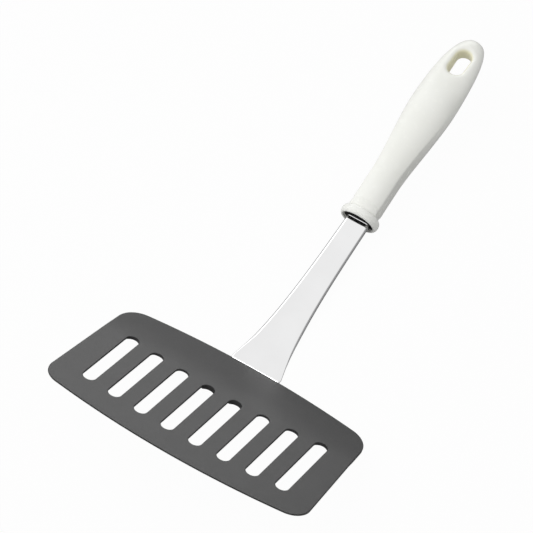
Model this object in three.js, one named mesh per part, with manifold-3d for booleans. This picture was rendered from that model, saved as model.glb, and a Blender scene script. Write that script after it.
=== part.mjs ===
// A pancake turner at rest on a table, on its heel and on the collar of its handle.
// Four pieces: a slotted nylon blade moulded round a pressed steel stem, a dark plug
// in the mouth of the handle, and a handle moulded round the stem's rear tang.
// Millimetres. X runs across the blade, Y towards the butt of the handle, Z up.

import * as THREE from 'three';
import { mergeVertices } from 'three/addons/utils/BufferGeometryUtils.js';
import Module from 'manifold-3d';

const wasm = await Module();
wasm.setup();

// Fit between pieces that are moulded or pressed together
const CLEARANCE = 0.3;

// Rest pose, in degrees from the table
const BLADE_LEAN = 27.8;
const STEM_RISE = 6.1;
const HANDLE_RISE = 10.1;

// Blade outline
const BLADE_LENGTH = 94.6;
const FRONT_WIDTH = 151.2;
const BACK_WIDTH = 143.8;
const FRONT_BOW_RADIUS = 423;
const BACK_BOW_RADIUS = 390;
const FRONT_CORNER_RADIUS = 11;
const BACK_CORNER_RADIUS = 13;

// Blade thickness and the soft bend between the slots and the heel
const EDGE_THICKNESS = 0.8;
const BEVEL_LENGTH = 8;
const PLATE_THICKNESS = 1.3;
const HEEL_THICKNESS = 1.9;
const HEEL_BEND = 1.5;
const HEEL_BEND_RADIUS = 150;

// Drain slots
const SLOT_COUNT = 8;
const SLOT_PITCH = 16;
const SLOT_WIDTH = 7.1;
const SLOT_LENGTH = 47.4;
const FRONT_MARGIN = 15.2;
const SLOT_FRONT_BOW_RADIUS = 450;
const SLOT_BACK_BOW_RADIUS = 350;

// Hub under the blade, which holds the stem's front tang
const HUB_SKIN = 1.2;
const HUB_WALL = 3.2;
const HUB_NOSE_THICKNESS = 2.5;
const HUB_REACH = 3;
const HUB_CORNER_RADIUS = 7;

// Stem, pressed from sheet
const SHEET = 1.2;
const STEM_LENGTH = 98.5;
const FOOT_WIDTH = 29;
const NECK_WIDTH = 12.6;
const FLARE_HALVING = 21;
const FLANGE_DEPTH = 4.0;
const FLANGE_RUN = 32;
const SHOULDER_RADIUS = 0.9;
const STEM_BEND_RADIUS = 5;
const BEND_LEAD = 1.2;
const FRONT_TANG_LENGTH = 22;
const FRONT_TANG_CORNER = 3;
const REAR_TANG_LENGTH = 56;
const REAR_TANG_WIDTH = 9;

// Studs of plastic through the tangs, which lock them
const FRONT_KEY_DIAMETER = 6;
const FRONT_KEY_SPACING = 14;
const FRONT_KEY_INSET = 11;
const REAR_KEY_DIAMETER = 4;
const REAR_KEY_INSET = 14;

// Handle
const HANDLE_LENGTH = 124.8;
const COLLAR_WIDTH = 22.3;
const COLLAR_HEIGHT = 20.4;
const COLLAR_LIP = 1.5;
const BEAD_LENGTH = 5.2;
const COLLAR_LENGTH = 6.8;
const GROOVE_WIDTH = 3.6;
const GROOVE_DEPTH = 0.3;
const GRIP_NECK_WIDTH = 15.8;
const GRIP_NECK_HEIGHT = 18.2;
const GRIP_NECK_END = 28;
const FLAT_HEIGHT = 12;
const FLAT_START = 34;
const FLAT_INSET = 42.8;
const SWELL_WIDTH = 25.8;
const SWELL_HEIGHT = 18.8;
const SWELL_INSET = 46.6;
const BUTT_TAPER = 2.1;
const BUTT_FULLNESS = 2.9;
const BUTT_HEIGHT = 14;
const TIP_LENGTH = 28.8;
const TIP_HEIGHT = 10.4;
const TIP_BLUNTNESS = 4;
const DROOP_LENGTH = 36.8;
const DROOP_RADIUS = 180;

// Hang hole through the butt
const HOLE_INSET = 18;
const HOLE_LENGTH = 16.8;
const HOLE_WIDTH = 8.8;
const HOLE_RIM_RADIUS = 3;
const HOLE_UNDER_RADIUS = 1.2;

// Mouth of the handle and the plug that closes it
const MOUTH_WIDTH = 18.4;
const MOUTH_HEIGHT = 16.6;
const MOUTH_DEPTH = 4.4;
const PLUG_SET_BACK = 1.0;
const PLUG_DOME = 1.1;
const PLUG_SHOULDER = 1.7;

// Facets
const ARC_STEPS = 6;
const BEND_STEPS = 6;
const FLARE_STEPS = 14;
const SHOULDER_STEPS = 3;
const QUADRANT_STEPS = 9;
const CREASE_STEP = 3;
const BEAD_STEPS = 6;
const GRIP_STEPS = 16;
const TIP_STEPS = 12;
const TIP_CLOSURE = 0.985;
const RIM_STEPS = 4;
const KEY_SIDES = 20;
const WELD = 1e-4;

// Where the rounding of the hang hole meets the skin of the butt
const RIM_TURN = THREE.MathUtils.degToRad(72);

// How far a cutting or trimming solid runs past what it cuts
const OVERRUN = 2;

const radians = THREE.MathUtils.degToRad;
const { lerp, smoothstep } = THREE.MathUtils;

// Places that follow from the sizes above, on the blade's own centre line
const FRONT_Y = -SLOT_LENGTH / 2 - FRONT_MARGIN;
const BACK_Y = FRONT_Y + BLADE_LENGTH;
const HUB_THICKNESS = 2 * HUB_SKIN + 2 * CLEARANCE + SHEET;
const TANG_SLOPE = -radians(BLADE_LEAN + HEEL_BEND);
const RISE_SLOPE = radians(STEM_RISE);

// Places along the handle, from its mouth. The far ones keep their distance from the tip.
const SWELL_AT = HANDLE_LENGTH - SWELL_INSET;
const FLAT_END = HANDLE_LENGTH - FLAT_INSET;
const BUTT_AT = HANDLE_LENGTH - TIP_LENGTH;
const HOLE_AT = HANDLE_LENGTH - HOLE_INSET;
const DROOP_START = HANDLE_LENGTH - DROOP_LENGTH;

const STEEL = { color: 0xd9dadb, roughness: 0.28, metalness: 1 };
const NYLON = { color: 0x5b5b5c, roughness: 0.55, metalness: 0 };
const DARK = { color: 0x2c2c2d, roughness: 0.25, metalness: 0 };
const IVORY = { color: 0xf0f1ec, roughness: 0.2, metalness: 0 };

// Solids

// A closed solid for cutting and joining, from a geometry whose shared corners are merged.
function solidOf(geometry) {
  const bare = geometry.clone();
  bare.deleteAttribute('normal');
  bare.deleteAttribute('uv');
  const merged = mergeVertices(bare, WELD);
  const vertProperties = new Float32Array(merged.getAttribute('position').array);
  const triVerts = new Uint32Array(merged.index.array);
  return new wasm.Manifold(new wasm.Mesh({ numProp: 3, vertProperties, triVerts }));
}

function pieceOf(name, solid, finish) {
  const { vertProperties, triVerts } = solid.getMesh();
  const geometry = new THREE.BufferGeometry();
  geometry.setAttribute('position', new THREE.BufferAttribute(vertProperties, 3));
  geometry.setIndex(new THREE.BufferAttribute(triVerts, 1));
  geometry.computeVertexNormals();
  const piece = new THREE.Mesh(geometry, new THREE.MeshStandardMaterial(finish));
  piece.name = name;
  return piece;
}

// A plan drawn in X and Y, drawn out from one height to another.
function upright(plan, low, high) {
  const settings = { depth: high - low, bevelEnabled: false, curveSegments: ARC_STEPS };
  return solidOf(new THREE.ExtrudeGeometry(plan, settings).translate(0, 0, low));
}

// A side view drawn in Y and Z, drawn out across X.
function across(sideView, width) {
  const settings = { depth: width, bevelEnabled: false, curveSegments: ARC_STEPS };
  const geometry = new THREE.ExtrudeGeometry(sideView, settings).translate(0, 0, -width / 2);
  const turn = new THREE.Matrix4().makeBasis(
    new THREE.Vector3(0, 1, 0),
    new THREE.Vector3(0, 0, 1),
    new THREE.Vector3(1, 0, 0),
  );
  return solidOf(geometry.applyMatrix4(turn));
}

// A closed skin through rings of equal count, listed along +Y and turning from +X to +Z.
function loft(rings) {
  const count = rings[0].length;
  const last = (rings.length - 1) * count;
  const faces = [];
  for (let base = 0; base < last; base += count) {
    for (let k = 0; k < count; k++) {
      const here = base + k;
      const next = base + ((k + 1) % count);
      faces.push(here, next + count, next, here, here + count, next + count);
    }
  }
  for (let k = 1; k + 1 < count; k++) {
    faces.push(0, k, k + 1, last, last + k + 1, last + k);
  }
  const geometry = new THREE.BufferGeometry().setFromPoints(rings.flat());
  return geometry.setIndex(faces);
}

// A round pin across a sheet that lies at the given slope in side view.
function keyPin(x, place, slope, radius) {
  const length = HUB_THICKNESS * 2 + FLANGE_DEPTH;
  const pin = new THREE.CylinderGeometry(radius, radius, length, KEY_SIDES);
  return pin.rotateX(slope + Math.PI / 2).translate(x, place.x, place.y);
}

// The same geometry, seen from the frame of a placed group.
function inFrameOf(group, geometry) {
  group.updateMatrixWorld();
  return geometry.clone().applyMatrix4(group.matrixWorld.clone().invert());
}

// Stem

const along = (slope) => new THREE.Vector2(Math.cos(slope), Math.sin(slope));
const above = (slope) => new THREE.Vector2(-Math.sin(slope), Math.cos(slope));
const moved = (point, direction, distance) => point.clone().addScaledVector(direction, distance);

// Side view of the stem's top face. The heel, where the blade's food face ends, is at 0, 0.
const tangRoot = above(TANG_SLOPE).multiplyScalar(-HUB_SKIN - CLEARANCE);
const tangTip = moved(tangRoot, along(TANG_SLOPE), -FRONT_TANG_LENGTH);
const bendStart = moved(tangRoot, along(TANG_SLOPE), BEND_LEAD);
const bendCentre = moved(bendStart, above(TANG_SLOPE), STEM_BEND_RADIUS);
const foot = moved(bendCentre, above(RISE_SLOPE), -STEM_BEND_RADIUS);
const stemPoint = (distance) => moved(foot, along(RISE_SLOPE), distance);

// Half width and flange depth at a distance from the foot, out to the mouth of the handle.
// What is left of the flare halves again and again along the stem.
function flare(distance) {
  const left = 0.5 ** (distance / FLARE_HALVING);
  const half = NECK_WIDTH / 2 + ((FOOT_WIDTH - NECK_WIDTH) / 2) * left;
  const depth = lerp(SHEET, FLANGE_DEPTH, smoothstep(distance, 0, FLANGE_RUN));
  return { half, depth };
}

// Stations along the stem, from the tip of the front tang to the tip of the rear tang.
function stemStations() {
  const flat = { half: FOOT_WIDTH / 2, depth: SHEET };
  const tip = { half: FOOT_WIDTH / 2 - FRONT_TANG_CORNER, depth: SHEET };
  const shoulder = moved(tangTip, along(TANG_SLOPE), FRONT_TANG_CORNER);
  const stations = [
    { point: tangTip, slope: TANG_SLOPE, ...tip },
    { point: shoulder, slope: TANG_SLOPE, ...flat },
  ];
  for (let i = 0; i <= BEND_STEPS; i++) {
    const slope = lerp(TANG_SLOPE, RISE_SLOPE, i / BEND_STEPS);
    const point = moved(bendCentre, above(slope), -STEM_BEND_RADIUS);
    stations.push({ point, slope, ...flat });
  }
  for (let i = 1; i <= FLARE_STEPS; i++) {
    const distance = (STEM_LENGTH * i) / FLARE_STEPS;
    stations.push({ point: stemPoint(distance), slope: RISE_SLOPE, ...flare(distance) });
  }
  const plugBack = STEM_LENGTH + MOUTH_DEPTH;
  const narrowed = plugBack + NECK_WIDTH - REAR_TANG_WIDTH;
  const rear = { half: REAR_TANG_WIDTH / 2, depth: SHEET };
  stations.push({ point: stemPoint(plugBack), slope: RISE_SLOPE, ...flare(plugBack) });
  stations.push({ point: stemPoint(narrowed), slope: RISE_SLOPE, ...rear });
  stations.push({ point: stemPoint(STEM_LENGTH + REAR_TANG_LENGTH), slope: RISE_SLOPE, ...rear });
  return stations;
}

// A point of a cross-section, across and up from the stem's top face.
function sectionPoint({ point, slope }, x, up) {
  const place = moved(point, above(slope), up);
  return new THREE.Vector3(x, place.x, place.y);
}

// The stem's outside, with round shoulders and no hollow, grown by a clearance all round.
function stemBlank(grow) {
  const stations = stemStations();
  const first = stations[0];
  const last = stations[stations.length - 1];
  first.point = moved(first.point, along(first.slope), -grow);
  last.point = moved(last.point, along(last.slope), grow);
  return loft(stations.map((station) => {
    const half = station.half + grow;
    const round = SHOULDER_RADIUS;
    const ring = [sectionPoint(station, half, -station.depth - grow)];
    for (const side of [1, -1]) {
      for (let i = 0; i <= SHOULDER_STEPS; i++) {
        const step = side > 0 ? i : SHOULDER_STEPS - i;
        const turn = (Math.PI / 2) * (step / SHOULDER_STEPS);
        const x = side * (half - round * (1 - Math.cos(turn)));
        ring.push(sectionPoint(station, x, grow - round * (1 - Math.sin(turn))));
      }
    }
    ring.push(sectionPoint(station, -half, -station.depth - grow));
    return ring;
  }));
}

// The hollow between the flanges, where they stand clear of the sheet.
function stemHollow() {
  const flanged = stemStations().filter((station) => station.depth > SHEET * 1.2);
  return loft(flanged.map((station) => {
    const half = station.half - SHEET;
    const low = -station.depth - OVERRUN;
    return [
      sectionPoint(station, half, low),
      sectionPoint(station, half, -SHEET),
      sectionPoint(station, -half, -SHEET),
      sectionPoint(station, -half, low),
    ];
  }));
}

// The studs that lock the tangs, or with a clearance, the holes that they pass through.
function frontKeys(grow) {
  const place = moved(tangRoot, along(TANG_SLOPE), -FRONT_KEY_INSET);
  return [-0.5, 0.5].map((side) => {
    return keyPin(side * FRONT_KEY_SPACING, place, TANG_SLOPE, FRONT_KEY_DIAMETER / 2 + grow);
  });
}

function rearKeys(grow) {
  const place = stemPoint(STEM_LENGTH + REAR_TANG_LENGTH - REAR_KEY_INSET);
  return [keyPin(0, place, RISE_SLOPE, REAR_KEY_DIAMETER / 2 + grow)];
}

function makeStem() {
  let stem = solidOf(stemBlank(0)).subtract(solidOf(stemHollow()));
  for (const hole of [...frontKeys(CLEARANCE), ...rearKeys(CLEARANCE)]) {
    stem = stem.subtract(solidOf(hole));
  }
  return pieceOf('stem', stem, STEEL);
}

// The room that a moulded piece leaves for the stem, in the frame of that piece's group.
function stemPocket(group, keys) {
  let pocket = solidOf(inFrameOf(group, stemBlank(CLEARANCE)));
  for (const key of keys) {
    pocket = pocket.subtract(solidOf(inFrameOf(group, key)));
  }
  return pocket;
}

// Blade, with its slots centred on X and Y and its food face at Z = 0

// Centre of a corner round, inside the bow of an edge and inside a straight side.
function cornerCentre(side, bowCentreY, bowRadius, radius, end) {
  const start = side.point.clone().addScaledVector(side.inward, radius);
  const from = start.clone().sub(new THREE.Vector2(0, bowCentreY));
  const slide = from.dot(side.run);
  const reach = bowRadius - radius;
  const root = Math.sqrt(slide * slide - from.lengthSq() + reach * reach);
  return start.addScaledVector(side.run, end * root - slide);
}

function slotOutline(x) {
  const radius = SLOT_WIDTH / 2;
  const front = -SLOT_LENGTH / 2 + (x * x) / (2 * SLOT_FRONT_BOW_RADIUS) + radius;
  const back = SLOT_LENGTH / 2 + (x * x) / (2 * SLOT_BACK_BOW_RADIUS) - radius;
  const slot = new THREE.Path();
  slot.absarc(x, front, radius, Math.PI, 2 * Math.PI);
  slot.absarc(x, back, radius, 0, Math.PI);
  return slot.closePath();
}

function bladeOutline() {
  const run = new THREE.Vector2((BACK_WIDTH - FRONT_WIDTH) / 2, BLADE_LENGTH).normalize();
  const side = {
    point: new THREE.Vector2(FRONT_WIDTH / 2, FRONT_Y),
    run,
    inward: new THREE.Vector2(-run.y, run.x),
  };
  const frontBowY = FRONT_Y + FRONT_BOW_RADIUS;
  const backBowY = BACK_Y - BACK_BOW_RADIUS;
  const front = cornerCentre(side, frontBowY, FRONT_BOW_RADIUS, FRONT_CORNER_RADIUS, -1);
  const back = cornerCentre(side, backBowY, BACK_BOW_RADIUS, BACK_CORNER_RADIUS, 1);
  const frontTurn = Math.atan2(front.y - frontBowY, front.x);
  const backTurn = Math.atan2(back.y - backBowY, back.x);
  const sideTurn = Math.atan2(-side.inward.y, -side.inward.x);

  const outline = new THREE.Shape();
  outline.absarc(0, frontBowY, FRONT_BOW_RADIUS, -Math.PI - frontTurn, frontTurn);
  outline.absarc(front.x, front.y, FRONT_CORNER_RADIUS, frontTurn, sideTurn);
  outline.absarc(back.x, back.y, BACK_CORNER_RADIUS, sideTurn, backTurn);
  outline.absarc(0, backBowY, BACK_BOW_RADIUS, backTurn, Math.PI - backTurn);
  outline.absarc(-back.x, back.y, BACK_CORNER_RADIUS, Math.PI - backTurn, Math.PI - sideTurn);
  outline.absarc(-front.x, front.y, FRONT_CORNER_RADIUS, Math.PI - sideTurn, Math.PI - frontTurn);
  outline.closePath();
  for (let i = 0; i < SLOT_COUNT; i++) {
    outline.holes.push(slotOutline((i - (SLOT_COUNT - 1) / 2) * SLOT_PITCH));
  }
  return outline;
}

// Height of the food face over the bend and the heel behind it
const bendFrom = SLOT_LENGTH / 2;
const bendTo = bendFrom + HEEL_BEND_RADIUS * Math.sin(radians(HEEL_BEND));
const bendDrop = HEEL_BEND_RADIUS * (1 - Math.cos(radians(HEEL_BEND)));
const heelFace = (y) => -bendDrop - (y - bendTo) * Math.tan(radians(HEEL_BEND));

function plateSideView() {
  const front = FRONT_Y - OVERRUN;
  const back = BACK_Y + OVERRUN;
  const view = new THREE.Shape();
  view.moveTo(front, 0);
  view.lineTo(front, -EDGE_THICKNESS);
  view.lineTo(FRONT_Y, -EDGE_THICKNESS);
  view.lineTo(FRONT_Y + BEVEL_LENGTH, -PLATE_THICKNESS);
  view.lineTo(bendFrom, -PLATE_THICKNESS);
  view.lineTo(bendTo, heelFace(bendTo) - HEEL_THICKNESS);
  view.lineTo(back, heelFace(back) - HEEL_THICKNESS);
  view.lineTo(back, heelFace(back));
  view.lineTo(bendTo, heelFace(bendTo));
  const top = Math.PI / 2;
  view.absarc(bendFrom, -HEEL_BEND_RADIUS, HEEL_BEND_RADIUS, top - radians(HEEL_BEND), top);
  return view.closePath();
}

// The hub's floor runs from its thin nose at the middle slots to full depth at the tang.
function hubSideView() {
  const nose = SLOT_LENGTH / 2 - HUB_REACH;
  const tip = BACK_Y - FRONT_TANG_LENGTH;
  const back = BACK_Y + OVERRUN;
  const buried = PLATE_THICKNESS / 2;
  const view = new THREE.Shape();
  view.moveTo(nose, -buried);
  view.lineTo(nose, -HUB_NOSE_THICKNESS);
  view.lineTo(tip, heelFace(tip) - HUB_THICKNESS);
  view.lineTo(back, heelFace(back) - HUB_THICKNESS);
  view.lineTo(back, heelFace(back) - buried);
  return view.closePath();
}

function hubPlan() {
  const half = FOOT_WIDTH / 2 + CLEARANCE + HUB_WALL;
  const nose = SLOT_LENGTH / 2 - HUB_REACH;
  const back = BACK_Y + OVERRUN;
  const round = HUB_CORNER_RADIUS;
  const plan = new THREE.Shape();
  plan.moveTo(half, back);
  plan.lineTo(-half, back);
  plan.absarc(-half + round, nose + round, round, Math.PI, 1.5 * Math.PI);
  plan.absarc(half - round, nose + round, round, -Math.PI / 2, 0);
  return plan.closePath();
}

function makeBlade(group) {
  const low = heelFace(BACK_Y) - HUB_THICKNESS - OVERRUN;
  const plate = across(plateSideView(), FRONT_WIDTH + OVERRUN);
  const hub = across(hubSideView(), FRONT_WIDTH).intersect(upright(hubPlan(), low, OVERRUN));
  const trimmed = plate.add(hub).intersect(upright(bladeOutline(), low, OVERRUN));
  return pieceOf('blade', trimmed.subtract(stemPocket(group, frontKeys(0))), NYLON);
}

// Handle, with the middle of its mouth at 0, 0 and its length along Y

// Height of the grip's centre line, which droops a little at the butt.
function gripCentre(y) {
  const past = Math.max(0, y - DROOP_START);
  return -(past * past) / (2 * DROOP_RADIUS);
}

// An upright ring between an oval and a section with flat sides and a domed crown.
function gripRing({ y, width, height, flat }) {
  const half = width / 2;
  const crown = height / 2;
  const edge = (FLAT_HEIGHT / 2) * (height / GRIP_NECK_HEIGHT);
  const rise = crown - edge;
  const domeRadius = (half * half + rise * rise) / (2 * rise);
  const domeStart = Math.asin((domeRadius - rise) / domeRadius);
  const creaseTurn = Math.atan2(edge, half);
  const quadrant = [];
  for (let k = 0; k <= QUADRANT_STEPS; k++) {
    const onSide = Math.min(1, k / CREASE_STEP);
    const onDome = Math.max(0, (k - CREASE_STEP) / (QUADRANT_STEPS - CREASE_STEP));
    const turn = creaseTurn * onSide + (Math.PI / 2 - creaseTurn) * onDome;
    const domeTurn = lerp(domeStart, Math.PI / 2, onDome);
    const flatX = onSide < 1 ? half : domeRadius * Math.cos(domeTurn);
    const flatZ = onSide < 1 ? edge * onSide : crown - domeRadius * (1 - Math.sin(domeTurn));
    quadrant.push(new THREE.Vector2(
      lerp(half * Math.cos(turn), flatX, flat),
      lerp(crown * Math.sin(turn), flatZ, flat),
    ));
  }
  const ring = [];
  const centre = gripCentre(y);
  for (let k = 0; k < 4 * QUADRANT_STEPS; k++) {
    const quarter = Math.floor(k / QUADRANT_STEPS);
    const step = k % QUADRANT_STEPS;
    const { x, y: z } = quadrant[quarter % 2 === 0 ? step : QUADRANT_STEPS - step];
    const sideways = quarter === 0 || quarter === 3 ? x : -x;
    ring.push(new THREE.Vector3(sideways, y, centre + (quarter < 2 ? z : -z)));
  }
  return ring;
}

// The collar's bead, from the lip of the mouth back to the fillet on the neck.
function collarStations() {
  const stations = [];
  for (let i = 0; i <= BEAD_STEPS; i++) {
    const turn = (Math.PI * i) / BEAD_STEPS;
    const inset = 2 * COLLAR_LIP * (1 - Math.sin(turn));
    const y = (BEAD_LENGTH / 2) * (1 - Math.cos(turn));
    stations.push({ y, width: COLLAR_WIDTH - inset, height: COLLAR_HEIGHT - inset, flat: 0 });
  }
  return stations;
}

// How far a place lies between a start and the tip of the handle, from 0 to 1
const intoTip = (y, start) => Math.max(0, (y - start) / (HANDLE_LENGTH - start));
const rounded = (past, taper, fullness) => (1 - past ** taper) ** (1 / fullness);

// Neck and swell run into each other smoothly, and from the swell the butt closes in one
// full curve to its round tip.
function gripWidth(y) {
  if (y < SWELL_AT) {
    return lerp(GRIP_NECK_WIDTH, SWELL_WIDTH, smoothstep(y, GRIP_NECK_END, SWELL_AT));
  }
  return SWELL_WIDTH * rounded(intoTip(y, SWELL_AT), BUTT_TAPER, BUTT_FULLNESS);
}

function gripHeight(y) {
  if (y < SWELL_AT) {
    return lerp(GRIP_NECK_HEIGHT, SWELL_HEIGHT, smoothstep(y, GRIP_NECK_END, SWELL_AT));
  }
  const past = intoTip(y, BUTT_AT);
  const full = lerp(SWELL_HEIGHT, BUTT_HEIGHT, smoothstep(y, SWELL_AT, BUTT_AT));
  return lerp(full, TIP_HEIGHT, past) * rounded(past, TIP_BLUNTNESS, TIP_BLUNTNESS);
}

function gripStation(y, sunk = 0) {
  const flat = 1 - smoothstep(y, FLAT_START, FLAT_END);
  return { y, width: gripWidth(y) - 2 * sunk, height: gripHeight(y) - 2 * sunk, flat };
}

function handleBlank() {
  const stations = [
    ...collarStations(),
    gripStation(COLLAR_LENGTH),
    gripStation(COLLAR_LENGTH + GROOVE_WIDTH / 2, GROOVE_DEPTH),
    gripStation(COLLAR_LENGTH + GROOVE_WIDTH),
    gripStation(GRIP_NECK_END),
  ];
  for (let i = 1; i <= GRIP_STEPS; i++) {
    stations.push(gripStation(lerp(GRIP_NECK_END, BUTT_AT, i / GRIP_STEPS)));
  }
  for (let i = 1; i <= TIP_STEPS; i++) {
    const past = Math.sin((Math.PI / 2) * TIP_CLOSURE * (i / TIP_STEPS));
    stations.push(gripStation(lerp(BUTT_AT, HANDLE_LENGTH, past)));
  }
  return loft(stations.map(gripRing));
}

// An upright oval ring round the axis of the mouth.
function mouthRing(y, width, height) {
  const ring = [];
  const count = 4 * QUADRANT_STEPS;
  for (let k = 0; k < count; k++) {
    const turn = (2 * Math.PI * k) / count;
    ring.push(new THREE.Vector3((width / 2) * Math.cos(turn), y, (height / 2) * Math.sin(turn)));
  }
  return ring;
}

// A flat oblong with round ends, for the hang hole at one height.
function holePlan(grow) {
  const radius = HOLE_WIDTH / 2 + grow;
  const straight = (HOLE_LENGTH - HOLE_WIDTH) / 2;
  const plan = new THREE.Shape();
  plan.absarc(0, HOLE_AT + straight, radius, 0, Math.PI);
  plan.absarc(0, HOLE_AT - straight, radius, Math.PI, 2 * Math.PI);
  return plan.getPoints(ARC_STEPS).slice(0, -1);
}

// Height of the butt's skin over its centre line, at a place in plan.
function buttSkin({ x, y }) {
  const sideways = x / (gripWidth(y) / 2);
  return (gripHeight(y) / 2) * Math.sqrt(1 - sideways * sideways);
}

// Levels of the hole's cutter, where one of its rims rounds over into the butt.
function rimLevels(radius) {
  const levels = [];
  for (let i = 0; i <= RIM_STEPS; i++) {
    const turn = RIM_TURN * (i / RIM_STEPS);
    levels.push({ grow: radius * (1 - Math.cos(turn)), up: radius * (Math.sin(turn) - 1) });
  }
  const edge = levels[RIM_STEPS];
  const outside = {
    grow: edge.grow + OVERRUN * Math.sin(RIM_TURN),
    up: edge.up + OVERRUN * Math.cos(RIM_TURN),
  };
  levels.push(outside, { grow: outside.grow, up: BUTT_HEIGHT });
  return levels;
}

// The hang hole. Its rims round over into the top and the bottom of the butt, wide above
// and small below, so each level of the cutter lies at an even depth under the skin.
function hangHole() {
  const ringOn = (side, { grow, up }) => {
    const height = (p) => gripCentre(p.y) + side * (buttSkin(p) + up);
    return holePlan(grow).map((p) => new THREE.Vector3(p.x, p.y, height(p))).reverse();
  };
  const under = rimLevels(HOLE_UNDER_RADIUS).map((level) => ringOn(-1, level)).reverse();
  const over = rimLevels(HOLE_RIM_RADIUS).map((level) => ringOn(1, level));
  return loft([...under, ...over]);
}

function makeHandle(group) {
  const mouth = [
    mouthRing(-OVERRUN, MOUTH_WIDTH, MOUTH_HEIGHT),
    mouthRing(MOUTH_DEPTH, MOUTH_WIDTH, MOUTH_HEIGHT),
  ];
  const handle = solidOf(handleBlank())
    .subtract(solidOf(loft(mouth)))
    .subtract(stemPocket(group, rearKeys(0)))
    .subtract(solidOf(hangHole()));
  return pieceOf('handle', handle, IVORY);
}

function makeMouthPlug(group) {
  const width = MOUTH_WIDTH - 2 * CLEARANCE;
  const height = MOUTH_HEIGHT - 2 * CLEARANCE;
  const rings = [];
  for (let i = 0; i <= SHOULDER_STEPS; i++) {
    const turn = (Math.PI / 2) * (i / SHOULDER_STEPS);
    const inset = 2 * PLUG_SHOULDER * (1 - Math.sin(turn));
    const y = PLUG_SET_BACK + PLUG_DOME * (1 - Math.cos(turn));
    rings.push(mouthRing(y, width - inset, height - inset));
  }
  rings.push(mouthRing(MOUTH_DEPTH - CLEARANCE, width, height));
  const plug = solidOf(loft(rings)).subtract(stemPocket(group, []));
  return pieceOf('mouth_plug', plug, DARK);
}

// Assembly

const turner = new THREE.Group();

const head = new THREE.Group();
head.rotation.x = -radians(BLADE_LEAN);
head.position.set(0, -BACK_Y, -heelFace(BACK_Y)).applyEuler(head.rotation);
head.add(makeBlade(head));

const grip = new THREE.Group();
const mouth = moved(stemPoint(STEM_LENGTH), above(RISE_SLOPE), -FLANGE_DEPTH / 2);
grip.rotation.x = radians(HANDLE_RISE);
grip.position.set(0, mouth.x, mouth.y);
grip.add(makeHandle(grip), makeMouthPlug(grip));

turner.add(head, makeStem(), grip);

// The table is at Z = 0, under the middle of the turner.
const box = new THREE.Box3().setFromObject(turner, true);
const middle = box.getCenter(new THREE.Vector3());
turner.position.set(-middle.x, -middle.y, -box.min.z);
turner.updateMatrixWorld(true);

export default turner;
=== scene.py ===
# %% [markdown]
# # A pancake turner
# This turner has four pieces: a dark slotted blade, a pressed steel stem, a dark plug in the
# mouth of the handle, and an ivory handle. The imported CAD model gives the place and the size
# of each. It could be shown as it is, but its curves are cut into few facets. So the lesson
# builds the same four pieces again with fine, rounded surfaces and real finishes.

# %% Load the frame
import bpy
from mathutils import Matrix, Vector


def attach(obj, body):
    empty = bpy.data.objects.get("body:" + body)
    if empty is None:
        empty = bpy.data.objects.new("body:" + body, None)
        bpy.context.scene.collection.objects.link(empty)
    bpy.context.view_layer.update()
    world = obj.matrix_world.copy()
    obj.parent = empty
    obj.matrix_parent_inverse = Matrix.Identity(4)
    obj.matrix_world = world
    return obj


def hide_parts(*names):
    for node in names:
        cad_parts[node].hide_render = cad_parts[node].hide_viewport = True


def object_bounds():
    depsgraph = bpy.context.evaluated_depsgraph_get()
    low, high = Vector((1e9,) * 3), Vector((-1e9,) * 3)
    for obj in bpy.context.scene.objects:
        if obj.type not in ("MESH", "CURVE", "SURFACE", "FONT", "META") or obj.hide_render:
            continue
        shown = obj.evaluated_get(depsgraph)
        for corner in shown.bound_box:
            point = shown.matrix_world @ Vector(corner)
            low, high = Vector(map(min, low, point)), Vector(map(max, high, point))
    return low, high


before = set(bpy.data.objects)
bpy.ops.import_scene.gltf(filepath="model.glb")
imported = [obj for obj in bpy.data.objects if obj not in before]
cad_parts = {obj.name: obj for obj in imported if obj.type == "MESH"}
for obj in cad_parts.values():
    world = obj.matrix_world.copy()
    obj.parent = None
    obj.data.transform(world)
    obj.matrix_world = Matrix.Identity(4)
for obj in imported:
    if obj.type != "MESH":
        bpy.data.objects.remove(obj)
print("Nodes in the frame:", len(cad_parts))

# %% Tools for the lesson
import math

import bmesh
import bpy
import numpy as np
from mathutils import Matrix, Vector
from mathutils.geometry import delaunay_2d_cdt

MM = 0.001
cad_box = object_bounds()
cad_size = [round((high - low) / MM, 1) for low, high in zip(*cad_box)]
print("CAD model, mm:", cad_size)

# %% [markdown]
# ## Camera
# A product picture like this is taken from well above and a little to the right, with a long
# lens, so that near and far parts keep nearly the same scale. The place, turn and lens were
# found by matching the corners of the blade, the foot of the stem and the hang hole.

# %% Camera
CAMERA_PLACE = (322.597, -608.963, 1115.895)
CAMERA_TURN = (31.7622, -1.0570, 32.2326)
CAMERA_LENS = 168.856
SENSOR_WIDTH = 36

camera_data = bpy.data.cameras.new("camera")
camera_data.lens = CAMERA_LENS
camera_data.sensor_width = SENSOR_WIDTH
camera = bpy.data.objects.new("camera", camera_data)
camera.location = Vector(CAMERA_PLACE) * MM
camera.rotation_euler = [math.radians(turn) for turn in CAMERA_TURN]
bpy.context.scene.collection.objects.link(camera)
bpy.context.scene.camera = camera
bpy.context.scene.view_settings.view_transform = "Standard"
print("Camera distance, mm:", round(camera.location.length / MM))

# %% [markdown]
# ## Light
# The picture was taken in a white studio. A large soft lamp stands high on the left, and white
# walls fill in the rest. The steel needs something white to mirror, so the world is white for
# the rays that mirror it, and dimmer for the light that it throws. Two white cards, on the left
# and behind, are seen only in mirrors: they draw the bright edges without lighting the scene.

# %% World
FILL_LEVEL = 0.56
WHITE = (1, 1, 1, 1)

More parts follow.
